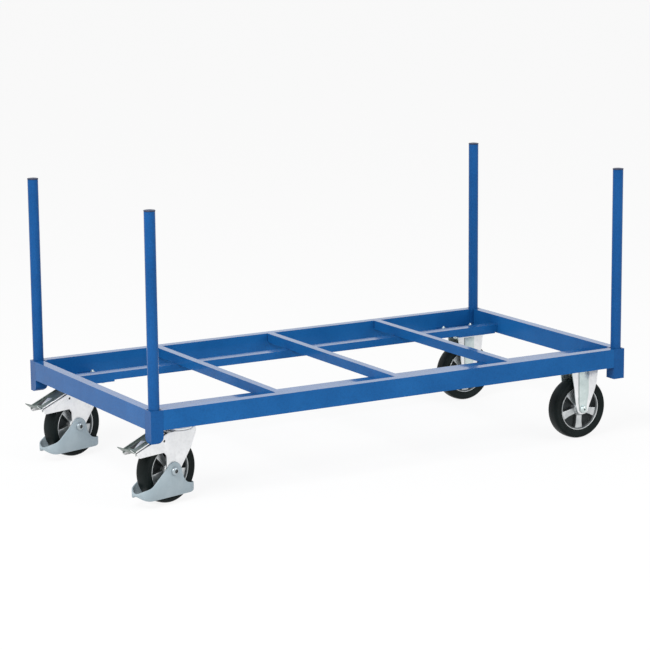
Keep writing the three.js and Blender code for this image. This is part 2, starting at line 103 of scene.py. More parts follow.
# Shapes
def mesh_of(name, verts, faces):
    mesh = bpy.data.meshes.new(name)
    mesh.from_pydata([tuple(c * MM for c in v) for v in verts], [], faces)
    bm = bmesh.new()
    bm.from_mesh(mesh)
    bmesh.ops.remove_doubles(bm, verts=bm.verts, dist=1e-6)
    bmesh.ops.recalc_face_normals(bm, faces=bm.faces)
    bm.to_mesh(mesh)
    bm.free()
    return mesh


def lathe(name, section, segments=64, axis="Z", centre=(0, 0, 0)):
    """A section of (radius, height) points turned about an axis."""
    verts, faces, count = [], [], len(section)
    for step in range(segments):
        c, s = math.cos(TAU * step / segments), math.sin(TAU * step / segments)
        for r, h in section:
            spot = (r * c, r * s, h) if axis == "Z" else (r * c, h, r * s)
            verts.append([a + b for a, b in zip(spot, centre)])
    for step in range(segments):
        here, there = step * count, (step + 1) % segments * count
        for i in range(count):
            j = (i + 1) % count
            faces.append([here + i, here + j, there + j, there + i])
    return mesh_of(name, verts, faces)


def rod(name, radius, low, high, segments=32, axis="Z", centre=(0, 0, 0)):
    return lathe(name, [(0, low), (radius, low), (radius, high), (0, high)], segments, axis, centre)


def prism(name, outline, low, high, plane="side", ending=None):
    """An outline run from low to high, turning into the ending outline if one is given."""
    order = {
        "side": lambda a, b, t: (a, t, b),
        "plan": lambda a, b, t: (a, b, t),
    }[plane]
    count = len(outline)
    verts = [order(a, b, t) for t, run in ((low, outline), (high, ending or outline)) for a, b in run]
    faces = [list(range(count)), list(range(2 * count - 1, count - 1, -1))]
    for i in range(count):
        j = (i + 1) % count
        faces.append([i, j, count + j, count + i])
    return mesh_of(name, verts, faces)


def rectangle(low_a, low_b, high_a, high_b):
    return [(low_a, low_b), (high_a, low_b), (high_a, high_b), (low_a, high_b)]


def block(name, low, high):
    return prism(name, rectangle(low[X], low[Y], high[X], high[Y]), low[Z], high[Z], "plan")


def arc(cx, cy, radius, start, end, steps=12):
    spots = []
    for step in range(steps + 1):
        angle = math.radians(start + (end - start) * step / steps)
        spots.append((cx + radius * math.cos(angle), cy + radius * math.sin(angle)))
    return spots


def hexagon(across, turn=0.0, centre=(0, 0)):
    reach = across / math.sqrt(3)
    angles = [turn + TAU * k / 6 for k in range(6)]
    return [(centre[0] + reach * math.cos(a), centre[1] + reach * math.sin(a)) for a in angles]


def rounded(points, radius, steps=5):
    """The outline with its corners rounded; radius is one number or one for each corner."""
    edge_share, straight = 0.46, math.pi - 0.12
    out, count = [], len(points)
    for i, point in enumerate(points):
        r = radius[i] if hasattr(radius, "__len__") else radius
        p = Vector(point)
        a, b = Vector(points[i - 1]) - p, Vector(points[(i + 1) % count]) - p
        reach = min(a.length, b.length) * edge_share
        a.normalize()
        b.normalize()
        angle = a.angle(b)
        if r <= 0 or angle > straight:
            out.append(tuple(p))
            continue
        cut = min(r / math.tan(angle / 2), reach)
        r = cut * math.tan(angle / 2)
        centre = p + (a + b).normalized() * (r / math.sin(angle / 2))
        first, last = p + a * cut - centre, p + b * cut - centre
        start, sweep = math.atan2(first.y, first.x), math.atan2(last.y, last.x)
        sweep = (sweep - start + math.pi) % TAU - math.pi
        for step in range(steps + 1):
            t = start + sweep * step / steps
            out.append((centre.x + r * math.cos(t), centre.y + r * math.sin(t)))
    return out


def rounded_run(points, share=0.4):
    """The middle points of an open run, with the bend at each softened over a share of its edges."""
    out = []
    for a, b, c in zip(points, points[1:], points[2:]):
        for t in (0.2, 0.4, 0.6, 0.8):
            first = Vector(a).lerp(Vector(b), 1 - share + share * t)
            second = Vector(b).lerp(Vector(c), share * t)
            out.append(tuple(first.lerp(second, t)))
    return out


def smooth_run(points, step, passes=6):
    """An open run of points, redrawn at even steps with its corners eased."""
    dense = []
    for (xa, za), (xb, zb) in zip(points, points[1:]):
        length = math.hypot(xb - xa, zb - za)
        count = max(1, int(length / step))
        dense += [(xa + (xb - xa) * k / count, za + (zb - za) * k / count) for k in range(count)]
    dense.append(points[-1])
    for _ in range(passes):
        eased = [tuple(0.25 * a + 0.5 * b + 0.25 * c for a, b, c in zip(p, q, r))
                 for p, q, r in zip(dense, dense[1:], dense[2:])]
        dense = [dense[0], *eased, dense[-1]]
    return dense


def height_on(run, x):
    """Height of a run that crosses x, or of its nearer end."""
    found = None
    for (xa, za), (xb, zb) in zip(run, run[1:]):
        if min(xa, xb) - 1e-6 <= x <= max(xa, xb) + 1e-6:
            share = 0 if abs(xb - xa) < 1e-9 else (x - xa) / (xb - xa)
            found = za + (zb - za) * share
    if found is None:
        found = run[0][1] if x > 0 else run[-1][1]
    return found


def softened(mesh, width, segments=2, limit=35, chosen=None):
    """The mesh with its edges above the limit in degrees bevelled, or the chosen ones of them."""
    bm = bmesh.new()
    bm.from_mesh(mesh)
    edges = [e for e in bm.edges if e.is_manifold and e.calc_face_angle(0) > math.radians(limit)
             and (chosen is None or chosen(e))]
    bmesh.ops.bevel(bm, geom=edges, offset=width * MM, segments=segments, profile=0.5,
                    affect="EDGES", clamp_overlap=True)
    bm.to_mesh(mesh)
    bm.free()
    return mesh


def moved(mesh, matrix):
    copy = mesh.copy()
    copy.transform(matrix)
    return copy


def joined(name, meshes):
    bm = bmesh.new()
    for mesh in meshes:
        bm.from_mesh(mesh)
    out = bpy.data.meshes.new(name)
    bm.to_mesh(out)
    bm.free()
    return out


def carved(name, base, tools, operation="UNION"):
    """The base with the tools added or cut away, as one closed mesh."""
    body = bpy.data.objects.new(name, base)
    bpy.context.scene.collection.objects.link(body)
    helpers = []
    for tool in tools:
        helper = bpy.data.objects.new(name + "_tool", tool)
        bpy.context.scene.collection.objects.link(helper)
        change = body.modifiers.new("cut", "BOOLEAN")
        change.operation, change.object, change.solver = operation, helper, "EXACT"
        helpers.append(helper)
    bpy.context.view_layer.update()
    result = bpy.data.meshes.new_from_object(body.evaluated_get(bpy.context.evaluated_depsgraph_get()))
    for thing in [body, *helpers]:
        bpy.data.objects.remove(thing)
    result.name = name
    return result


def place(x, y, turn=0.0):
    return Matrix.Translation((x * MM, y * MM, 0)) @ Matrix.Rotation(turn, 4, "Z")


def piece(name, mesh, body, look, nodes=(), at=None, crease=32):
    mesh = mesh.copy()
    if at is not None:
        mesh.transform(at)
    mesh.name = name
    for looks in look if isinstance(look, (list, tuple)) else [look]:
        mesh.materials.append(looks)
    mesh.shade_smooth()
    mesh.set_sharp_from_angle(angle=math.radians(crease))
    obj = bpy.data.objects.new(name, mesh)
    bpy.context.scene.collection.objects.link(obj)
    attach(obj, body)
    if nodes:
        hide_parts(*nodes)
    return obj


# Materials
class Look:
    """A node material under construction: a Principled shader fed by noise in object space."""

    def __init__(self, name, **sockets):
        self.material = bpy.data.materials.new(name)
        self.material.use_nodes = True
        self.tree = self.material.node_tree
        self.shader = next(n for n in self.tree.nodes if n.type == "BSDF_PRINCIPLED")
        self.coord = self.tree.nodes.new("ShaderNodeTexCoord")
        for key, value in sockets.items():
            self.shader.inputs[key.replace("_", " ")].default_value = value
        self.height = None

    def node(self, kind, **values):
        node = self.tree.nodes.new(kind)
        for key, value in values.items():
            setattr(node, key, value)
        return node

    def link(self, source, target):
        self.tree.links.new(source, target)

    def noise(self, scale, detail=4.0, rough=0.55):
        noise = self.node("ShaderNodeTexNoise")
        noise.inputs["Scale"].default_value = scale
        noise.inputs["Detail"].default_value = detail
        noise.inputs["Roughness"].default_value = rough
        self.link(self.coord.outputs["Object"], noise.inputs["Vector"])
        return noise.outputs["Fac"]

    def cells(self, scale):
        cells = self.node("ShaderNodeTexVoronoi", feature="F1")
        cells.inputs["Scale"].default_value = scale
        self.link(self.coord.outputs["Object"], cells.inputs["Vector"])
        return cells.outputs["Distance"]

    def ramp(self, source, stops):
        ramp = self.node("ShaderNodeValToRGB")
        while len(ramp.color_ramp.elements) < len(stops):
            ramp.color_ramp.elements.new(0.5)
        for element, (at, value) in zip(ramp.color_ramp.elements, stops):
            element.position = at
            element.color = (*value, 1) if hasattr(value, "__len__") else (value, value, value, 1)
        self.link(source, ramp.inputs["Fac"])
        return ramp.outputs["Color"]

    def span(self, source, low, high):
        span = self.node("ShaderNodeMapRange")
        span.inputs["To Min"].default_value = low
        span.inputs["To Max"].default_value = high
        self.link(source, span.inputs["Value"])
        return span.outputs["Result"]

    def slant(self, start, end, low, high):
        """Gloss that grows from low to high as a surface turns edge on."""
        edge = self.node("ShaderNodeLayerWeight")
        span = self.node("ShaderNodeMapRange", interpolation_type="SMOOTHSTEP")
        for socket, value in (("From Min", start), ("From Max", end), ("To Min", low), ("To Max", high)):
            span.inputs[socket].default_value = value
        self.link(edge.outputs["Facing"], span.inputs["Value"])
        return span.outputs["Result"]

    def multiplied(self, strength, first, second):
        mix = self.node("ShaderNodeMix", data_type="RGBA", blend_type="MULTIPLY")
        mix.inputs[0].default_value = strength
        self.link(first, mix.inputs[6])
        self.link(second, mix.inputs[7])
        return mix.outputs[2]

    def bump(self, source, strength, distance):
        bump = self.node("ShaderNodeBump")
        bump.inputs["Strength"].default_value = strength
        bump.inputs["Distance"].default_value = distance
        self.link(source, bump.inputs["Height"])
        if self.height is not None:
            self.link(self.height, bump.inputs["Normal"])
        self.height = bump.outputs["Normal"]
        self.link(self.height, self.shader.inputs["Normal"])

    def feed(self, socket, source):
        self.link(source, self.shader.inputs[socket])


def powder_paint(name, base, dark, pale):
    look = Look(name, Coat_Roughness=0.1, Coat_IOR=1.38, IOR=1.16)
    look.feed("Coat Weight", look.slant(0.45, 0.84, 0.12, 1.0))
    body = look.ramp(look.noise(5.5, 3, 0.6), [(0.3, dark), (0.52, base), (0.74, pale)])
    specks = look.ramp(look.noise(210, 3, 0.6), [(0.33, 0.78), (0.5, 1.0), (0.68, 1.1)])
    look.feed("Base Color", look.multiplied(0.55, body, specks))
    look.feed("Roughness", look.span(look.noise(34, 5, 0.6), 0.26, 0.46))
    look.bump(look.noise(480, 2, 0.5), 0.16, 0.0004)
    look.bump(look.noise(60, 2, 0.5), 0.06, 0.0010)
    return look.material


def plated(name, base, dark, pale, low=0.24, high=0.42, metal=0.82):
    look = Look(name, Metallic=metal, IOR=1.6)
    body = look.ramp(look.noise(26, 5, 0.62), [(0.3, dark), (0.52, base), (0.7, pale)])
    spangle = look.ramp(look.cells(95), [(0.0, 0.9), (0.55, 1.04)])
    look.feed("Base Color", look.multiplied(0.5, body, spangle))
    look.feed("Roughness", look.span(look.noise(70, 4, 0.6), low, high))
    look.bump(look.noise(330, 3, 0.6), 0.12, 0.0003)
    look.bump(look.noise(45, 2, 0.5), 0.08, 0.0009)
    return look.material


def tyre_rubber(name, base, dark, dusty):
    look = Look(name, IOR=1.2)
    body = look.ramp(look.noise(18, 5, 0.62), [(0.32, dark), (0.56, base), (0.8, dusty)])
    fine = look.noise(420, 3, 0.6)
    look.feed("Base Color", look.multiplied(0.5, body, look.ramp(fine, [(0.3, 0.7), (0.7, 1.15)])))
    look.feed("Roughness", look.span(look.noise(44, 4, 0.6), 0.34, 0.56))
    look.bump(fine, 0.22, 0.0004)
    return look.material


def cast_metal(name, base, dark, low=0.3, high=0.5):
    look = Look(name, Metallic=0.9, IOR=1.5)
    cloud = look.noise(30, 5, 0.6)
    pits = look.noise(520, 3, 0.65)
    body = look.ramp(cloud, [(0.34, dark), (0.6, base)])
    look.feed("Base Color", look.multiplied(0.45, body, look.ramp(pits, [(0.3, 0.72), (0.6, 1.05)])))
    look.feed("Roughness", look.span(cloud, low, high))
    look.bump(pits, 0.3, 0.0004)
    return look.material


def moulded(name, base, dark, pale, low=0.4, high=0.55):
    look = Look(name, IOR=1.47)
    body = look.ramp(look.noise(14, 4, 0.6), [(0.3, dark), (0.52, base), (0.75, pale)])
    fine = look.noise(640, 2, 0.6)
    look.feed("Base Color", look.multiplied(0.4, body, look.ramp(fine, [(0.3, 0.85), (0.7, 1.08)])))
    look.feed("Roughness", look.span(look.noise(90, 4, 0.6), low, high))
    look.bump(fine, 0.3, 0.0003)
    return look.material


BLUE = powder_paint("blue_paint", (0.0080, 0.096, 0.294), (0.0062, 0.083, 0.262), (0.0105, 0.109, 0.325))
DEEP = powder_paint("blue_paint_deep",
                    (0.0075, 0.078, 0.252), (0.0060, 0.068, 0.226), (0.0098, 0.089, 0.280))
# Darker copy of the blue paint for the weld beads: painted shade along the seams between parts.
WELD_SHADE = powder_paint("blue_paint_weld_shade",
                    (0.0030, 0.040, 0.150), (0.0022, 0.030, 0.118), (0.0045, 0.052, 0.185))
ZINC = plated("zinc_plate", (0.58, 0.665, 0.655), (0.50, 0.585, 0.578), (0.68, 0.75, 0.745))
FORK = plated("fork_plate", (0.82, 0.828, 0.838), (0.765, 0.772, 0.785), (0.88, 0.885, 0.895), 0.3, 0.46)
HEAD = plated("axle_head_plate", (0.40, 0.46, 0.49), (0.33, 0.39, 0.42), (0.48, 0.54, 0.57), 0.26, 0.4, 0.7)
TYRE = tyre_rubber("tyre_rubber", (0.0065, 0.0112, 0.0112), (0.0035, 0.0062, 0.0062), (0.013, 0.0195, 0.0195))
CAST = cast_metal("cast_aluminium", (0.62, 0.64, 0.65), (0.42, 0.45, 0.46))
# Dark copy of the cast aluminium: painted shade on the web at the floor of the rim's pockets.
WEB_SHADE = cast_metal("cast_aluminium_web_shade", (0.055, 0.062, 0.064), (0.028, 0.033, 0.035), 0.5, 0.68)
GUARD = moulded("guard_plastic", (0.322, 0.392, 0.428), (0.285, 0.352, 0.388), (0.365, 0.435, 0.470))
CAP = moulded("dark_plastic", (0.010, 0.022, 0.062), (0.007, 0.016, 0.046), (0.015, 0.030, 0.080))
SHADE = cast_metal("cast_aluminium_shade", (0.20, 0.215, 0.22), (0.11, 0.12, 0.125), 0.4, 0.6)
PEDAL = plated("pedal_steel", (0.19, 0.23, 0.212), (0.13, 0.16, 0.147), (0.26, 0.295, 0.275), 0.3, 0.5, 0.8)
# Darker copy of the zinc plating: painted shade on slopes turned from the light and inside bolt sockets.
ZINC_SHADE = plated("zinc_painted_shade",
                (0.26, 0.31, 0.305), (0.19, 0.235, 0.23), (0.34, 0.39, 0.385), 0.35, 0.5, 0.75)
DARK = plated("dark_steel",
              (0.055, 0.062, 0.066), (0.035, 0.04, 0.043), (0.09, 0.10, 0.105), 0.35, 0.55, 0.75)
SHADOW_BLACK = moulded("painted_shadow_black",
                (0.006, 0.0065, 0.007), (0.004, 0.0045, 0.005), (0.010, 0.011, 0.012), 0.35, 0.5)


# Frame pieces, carried over from the frame with a look and rounded edges
CROSS_TUBES = ("crossmember_1", "crossmember_2", "crossmember_3")
RAIL_EDGE, CROSS_EDGE, SOCKET_EDGE, MOUNT_EDGE = 1.6, 1.1, 1.9, 0.8


def dress(node, look, edge):
    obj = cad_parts[node]
    if not obj.material_slots:
        obj.data.materials.append(look)
    for holder in obj.material_slots:
        holder.material = look
    bevel = obj.modifiers.new("edges", "BEVEL")
    bevel.width, bevel.segments = edge * MM, 3
    bevel.limit_method, bevel.angle_limit = "ANGLE", math.radians(40)
    normals = obj.modifiers.new("normals", "WEIGHTED_NORMAL")
    normals.weight = 80


def dress_frame():
    for name in ("rail_front", "rail_back", "end_member_left", "end_member_right"):
        dress(name, BLUE, RAIL_EDGE)
    for name in (*CROSS_TUBES, "inner_member_front", "inner_member_back"):
        dress(name, BLUE, CROSS_EDGE)
    for corner in CORNERS:
        dress("socket_" + corner, DEEP, SOCKET_EDGE)
        dress("mount_plate_" + corner, BLUE, MOUNT_EDGE)


# Stakes and caps
def stake_mesh():
    inner, soft = STAKE_R - STAKE_WALL, 0.8
    section = [(inner, STAKE_LOW + soft), (inner + soft, STAKE_LOW), (STAKE_R - soft, STAKE_LOW),
               (STAKE_R, STAKE_LOW + soft), (STAKE_R, STAKE_TOP - soft), (STAKE_R - soft, STAKE_TOP),
               (inner + soft, STAKE_TOP), (inner, STAKE_TOP - soft)]
    return lathe("stake", section)


def cap_mesh():
    play, overhang = 0.5, 0.5
    plug, lip, seat = STAKE_R - STAKE_WALL - play, STAKE_R + overhang, STAKE_TOP + SEAM
    plug_low, plug_taper_top, plug_taper = STAKE_TOP - 14, STAKE_TOP - 12, 1.5
    lip_round, lip_centre, lip_foot, lip_soft = 1.1, 2.2, 0.5, 0.4
    crown_height, crown_curve = 5, 0.0075
    dome = arc(lip - lip_round, seat + lip_centre, lip_round, 0, 60, 2)
    crown = [(r, seat + crown_height - crown_curve * r * r) for r in (12.5, 9, 5, 0)]
    section = [(0, plug_low), (plug - plug_taper, plug_low), (plug, plug_taper_top), (plug, seat),
               (lip - lip_soft, seat), (lip, seat + lip_foot), *dome, *crown]
    return lathe("cap", section)


def add_stakes():
    stake, cap = stake_mesh(), cap_mesh()
    for corner in CORNERS:
        spot = place(*centre_of("stake_" + corner))
        unit = "stake_unit_" + corner
        piece("stake_tube_" + corner, stake, unit, DEEP, ["stake_" + corner], spot)
        piece("stake_plug_" + corner, cap, unit, CAP, ["stake_cap_" + corner], spot)


# Wheels, built about a castor's own upright axis: outlines as (radius, distance from the middle)
TYRE_FLANK = [(72.3, 20.0), (74.5, 20.3), (77.0, 20.5), (78.2, 21.3), (79.6, 21.4), (80.8, 20.9),
              (83.5, 21.6), (87.0, 22.3), (89.6, 22.8), (91.2, 23.0), (93.2, 22.9), (94.4, 22.2),
              (96.2, 20.9), (97.7, 18.6), (98.8, 15.2), (99.5, 10.5), (99.9, 5.0)]
HUB_FLANK = [(8.5, 30.7), (9.0, HUB_HALF), (17.5, HUB_HALF), (19.0, 30.0), (20.5, 24.0), (23.0, 21.5),
             (HUB_R, 19.0), (HUB_R + 1.5, 4.5), (HUB_R + 4, 3.0)]
RIM_FLANK = [(61.5, 3.0), (64.2, 5.5), (65.6, 14.0), (67.2, 17.6), (69.2, 19.2), (69.9, 20.0),
             (71.3, 20.0), (RIM_R, 19.2)]
SPOKES = 5
SPOKE_RUN = [(20.0, 10.8), (46, 11.8), (68.5, 15.6)]
SPOKE_HALF, SPOKE_EDGE = 16.5, 2.4
SPOKE_NECK, THINNER_SHARE = 30, 0.86
BOLT_DISH = 0.2


def wheel_centre(x):
    return x, 0, WHEEL_R


def mirrored(flank):
    """The other half of a flank, at the wheel's far side."""
    return [(r, -w) for r, w in reversed(flank)]


def tyre_mesh(x):
    section = [*TYRE_FLANK, (WHEEL_R, 0.0), *mirrored(TYRE_FLANK)]
    return lathe("tyre", section, 96, "Y", wheel_centre(x))


def spoke_mesh(x, turn):
    corners = [(r, -half) for r, half in SPOKE_RUN] + [(r, half) for r, half in reversed(SPOKE_RUN)]
    mesh = prism("spoke", corners, -SPOKE_HALF, SPOKE_HALF)
    for v in mesh.vertices:
        if v.co.x >= SPOKE_NECK * MM:
            v.co.y *= THINNER_SHARE
    spin = Matrix.Translation((x * MM, 0, WHEEL_R * MM)) @ Matrix.Rotation(turn, 4, "Y")
    return moved(softened(mesh, SPOKE_EDGE, 3, 50), spin)


def rim_mesh(x):
    """Rim with its web in the second look, a dark copy of the casting painted as the shade deep in its
    pockets, and the walls round its pockets in the third, painted shade as well.
    """
    half = HUB_FLANK + RIM_FLANK
    body = lathe("rim", half + mirrored(half), 80, "Y", wheel_centre(x))
    whole = carved("rim", body, [spoke_mesh(x, TAU * k / SPOKES + math.pi / 2) for k in range(SPOKES)])
    web_half, web_start, web_end = 5.2, 26, 64.6
    wall_start, wall_end = 25, 69.3
    for face in whole.polygons:
        spot = face.center / MM - Vector(wheel_centre(x))
        reach = math.hypot(spot.x, spot.z)
        if abs(spot.y) < web_half and web_start < reach < web_end:
            face.material_index = 1
        elif wall_start < reach < wall_end and abs(face.normal.y) < 0.8:
            face.material_index = 2
    return whole


def bolt_head(x, seat, radius, height):
    dome_shares = [(0.45, 1), (0.72, 0.86), (0.92, 0.55), (1, 0.2)]
    dome = [(radius * across, -seat - height * up) for across, up in dome_shares]
    section = [(0, -seat - height + BOLT_DISH), *dome, (radius, -seat), (0, -seat)]
    return lathe("head", section, 40, "Y", wheel_centre(x))


def axle_bolt_mesh(x, clamp, socket):
    """Domed bolt with a hexagon socket of the given width; the socket's inside is the second look, a darker
    copy painted as the shade in the recess.
    """
    seat, past_nut, chamfer, taper = clamp + SEAM, 13, 1, 0.8
    head_r, head_height, socket_floor, beyond = 13.0, 8.0, 3.6, 12
    inner_share, deep, shallow = 0.52, 9, 3
    end = seat + past_nut
    section = [(0, -seat), (AXLE_R, -seat), (AXLE_R, end - chamfer), (AXLE_R - taper, end), (0, end)]
    shaft = lathe("shaft", section, 32, "Y", wheel_centre(x))
    recess = prism("recess", hexagon(socket, 0, (x, WHEEL_R)), -seat - beyond, -seat - socket_floor)
    head = carved("head", bolt_head(x, seat, head_r, head_height), [recess], "DIFFERENCE")
    whole = carved("axle_bolt", head, [shaft])
    for face in whole.polygons:
        spot = face.center / MM - Vector(wheel_centre(x))
        near_axis = math.hypot(spot.x, spot.z) < socket * inner_share
        inside = near_axis and -seat - deep < spot.y < -seat - shallow
        floor = spot.y > -seat - socket_floor - SEAM
        face.material_index = 1 if inside and (abs(face.normal.y) < 0.3 or floor) else 0
    return whole


def axle_nut_mesh(x, clamp):
    seat, across, height, turn, edge, play = clamp + SEAM, 23.5, 9, 0.3, 0.9, 0.4
    body = softened(prism("nut", hexagon(across, turn, (x, WHEEL_R)), seat, seat + height), edge, 2, 40)
    bore = rod("bore", AXLE_R + play, seat - OVERRUN, seat + height + OVERRUN, 32, "Y", wheel_centre(x))
    return carved("axle_nut", body, [bore], "DIFFERENCE")


def axle_hole(x):
    half = GUARD_OUT + OVERRUN
    return rod("hole", AXLE_BORE_R, -half, half, 32, "Y", wheel_centre(x))


def add_wheel(kind, side_name, at, x, clamp):
    wheel_body = f"{kind}_wheel_{side_name}"
    piece(f"{kind}_tyre_{side_name}_rubber", tyre_mesh(x), wheel_body, TYRE,
          [f"{kind}_tyre_{side_name}"], at, 28)
    piece(f"{kind}_rim_{side_name}_casting", rim_mesh(x), wheel_body, [CAST, WEB_SHADE, SHADE],
          [f"{kind}_rim_{side_name}"], at, 36)
    carrier = "frame" if kind == "fixed" else f"castor_{side_name}"
    # Each bolt's second look is a darker copy, painted shade inside its socket.
    socket, looks = (6.0, [ZINC, ZINC_SHADE]) if kind == "fixed" else (11.5, [HEAD, SHADE])
    piece(f"{kind}_axle_{side_name}_bolt", axle_bolt_mesh(x, clamp, socket), carrier, looks,
          [f"{kind}_axle_bolt_{side_name}"], at)
    piece(f"{kind}_axle_{side_name}_nut", axle_nut_mesh(x, clamp), carrier, looks[0],
          [f"{kind}_axle_nut_{side_name}"], at)


# Castor plates and their bolts
PLATE_CORNER, PLATE_EDGE = 9, 0.7
BOLT_X, BOLT_Y = 56.0, 38.0
BOLT_ACROSS, BOLT_HEAD, NUT_HEIGHT, BOLT_R, BOLT_EDGE = 13.0, 5.5, 6.5, 3.9, 0.6
WASHER_IN, WASHER_OUT, WASHER_THICK = 4.2, 8.0, 1.6


def plate_mesh():
    outline = rounded(rectangle(-PLATE_LONG, -PLATE_WIDE, PLATE_LONG, PLATE_WIDE), PLATE_CORNER)
    return softened(prism("plate", outline, PLATE_LOW, PLATE_TOP, "plan"), PLATE_EDGE)


def washer(x, y, low):
    return lathe("washer", rectangle(WASHER_IN, low, WASHER_OUT, low + WASHER_THICK), 28, "Z", (x, y, 0))


def hex_body(name, x, y, low, high, turn):
    return softened(prism(name, hexagon(BOLT_ACROSS, turn, (x, y)), low, high, "plan"), BOLT_EDGE, 2, 40)


def hex_bolt(x, y, top, turn):
    seat = top - WASHER_THICK
    return [washer(x, y, seat), hex_body("bolt", x, y, seat - BOLT_HEAD, seat, turn)]


def hex_nut(x, y, low, turn):
    seat, stud_low, stud_high, chamfer, taper = low + WASHER_THICK, low + 2, low + 12, 1, 0.6
    section = [(0, stud_low), (BOLT_R, stud_low), (BOLT_R, stud_high - chamfer),
               (BOLT_R - taper, stud_high), (0, stud_high)]
    stud = lathe("stud", section, 20, "Z", (x, y, 0))
    return [hex_body("nut", x, y, seat, seat + NUT_HEIGHT, turn), washer(x, y, low), stud]


def add_plate_bolts(name, at):
    under, above = [], []
    for sx in (-1, 1):
        for sy in (-1, 1):
            under += hex_bolt(sx * BOLT_X, sy * BOLT_Y, PLATE_LOW, 0.2 + 0.5 * sx + 0.3 * sy)
            above += hex_nut(sx * BOLT_X, sy * BOLT_Y, MOUNT_TOP, 0.6 + 0.4 * sx + 0.2 * sy)
    piece(f"mount_bolts_{name}", joined("bolts", under), "frame", ZINC, (), at)
    piece(f"mount_nuts_{name}", joined("nuts", above), "frame", ZINC, (), at)


# Fixed castors: outlines as (forward, up) from the castor's axis and the floor
FORK_FOOT = [(22 * a, WHEEL_R + 17 * b) for a, b in arc(0, 0, 1, -180, 0, 14)]
FORK_FRONT = [(27, 113), (53, 172), (61, 230)]
FORK_REAR = [(-44, 230), (-34, 172), (-27, 113)]
FORK_TOP = 237
RIB_FOOT = [*arc(0, 101, 15.2, -180, 0, 10), (20, 122), (29, 150), (30, 224), (-19.5, 224), (-18.5, 122)]
RIB_CREST = [*arc(0, 101, 13, -180, 0, 10), (15, 122), (21, 150), (21, 224), (-17, 224), (-16, 122)]
RIB_DEPTH, RIB_EDGE, LEG_EDGE = 2, 0.5, 0.8


def side_of_wheel(side, inner, outer):
    """Low and high end across the castor of what lies from inner to outer on one side."""
    return sorted((side * inner, side * outer))


def fixed_fork_mesh():
    top = [(FORK_FRONT[-1][0], FORK_TOP), (FORK_REAR[0][0], FORK_TOP)]
    front, rear = rounded_run(FORK_FRONT), rounded_run(FORK_REAR)
    outline = [*FORK_FOOT, FORK_FRONT[0], *front, *top, *rear, FORK_REAR[-1]]
    parts = []
    for side in (-1, 1):
        leg = prism("leg", outline, *side_of_wheel(side, LEG_IN, LEG_OUT))
        rib = prism("rib", RIB_FOOT, side * (LEG_OUT - RIB_DEPTH), side * RIB_FACE, ending=RIB_CREST)
        parts += [softened(leg, LEG_EDGE, 2, 60), softened(rib, RIB_EDGE, 2, 40)]
    fork = carved("fixed_fork", carved("fixed_fork", plate_mesh(), parts), [axle_hole(0)], "DIFFERENCE")
    shade_fixed_fork(fork)
    return fork


def shade_fixed_fork(mesh):
    """First look on plate and rib crests; second, a brighter copy of the zinc, on flanges and right slopes as
    painted highlight; third, a darker copy, on left slopes as painted shade.
    """
    for face in mesh.polygons:
        y, z = abs(face.center.y) / MM, face.center.z / MM
        if y < LEG_OUT - 0.5 or z > PLATE_LOW - 1:
            look = 0
        elif face.normal.x < -0.25 and y > LEG_OUT + 0.05:
            look = 2
        else:
            look = 0 if y > RIB_FACE - 0.2 else 1
        face.material_index = look


# Swivel castors: outlines as (forward, up) from the castor's axis and the floor
PEDAL_IN, PEDAL_OUT, PEDAL_LIP = (-74.0, 219.22), (-185.0, 181.20), (-206.0, 191.0)
PIVOT = (-80.0, 195.17)
TRUNNION_R, TRUNNION_BORE_R = 3.5, 3.8
SWIVEL_FOOT_R = 26
SWIVEL_REST = [(24, 160), (45, 205), (45, CROWN_TOP), (-63.4, CROWN_TOP), (-74, 213.2), (-184, 175.3),
               (-178, 160), (-82, 161), (-72, 150)]
SWIVEL_BENDS = [30, 10, 3, 4, 6, 2, 6, 3, 9]
CROWN_R, CROWN_FRONT, CROWN_REAR, CROWN_LAP = 48, 45, -52, 2
CROWN_BEND, SWIVEL_EDGE = 3.2, 0.7


def swivel_fork_blank():
    foot = arc(-TRAIL, WHEEL_R, SWIVEL_FOOT_R, -180, 0, 14)
    outline = rounded([*foot, *SWIVEL_REST], [0] * len(foot) + SWIVEL_BENDS)
    legs = [prism("leg", outline, *side_of_wheel(side, LEG_IN, LEG_OUT)) for side in (-1, 1)]
    crown_half = LEG_IN + CROWN_LAP
    crown = block("crown", (CROWN_REAR, -crown_half, CROWN_LOW), (CROWN_FRONT, crown_half, CROWN_TOP))
    disc = rod("disc", CROWN_R, CROWN_LOW, CROWN_TOP, 72)
    whole = carved("swivel_fork", legs[0], [legs[1], crown, disc])

    def bend(edge):
        return all(abs(v.co.z / MM - CROWN_TOP) < 0.1 and abs(abs(v.co.y / MM) - LEG_OUT) < 0.1
                   for v in edge.verts)

    return softened(whole, CROWN_BEND, 4, 60, bend)


def pin_hole(low, high):
    """Cutter for the kingpin's hole through what lies from low to high."""
    return rod("pin_hole", PIN_BORE_R, low - OVERRUN, high + OVERRUN)


def swivel_fork_mesh():
    half = LEG_OUT + OVERRUN
    trunnion_hole = rod("trunnion_hole", TRUNNION_BORE_R, -half, half, 24, "Y", (PIVOT[0], 0, PIVOT[1]))
    holes = [axle_hole(-TRAIL), pin_hole(CROWN_LOW, CROWN_TOP), trunnion_hole]
    return softened(carved("swivel_fork", swivel_fork_blank(), holes, "DIFFERENCE"), SWIVEL_EDGE, 2, 70)


def swivel_plate_mesh():
    return carved("plate", plate_mesh(), [pin_hole(PLATE_LOW, PLATE_TOP)], "DIFFERENCE")


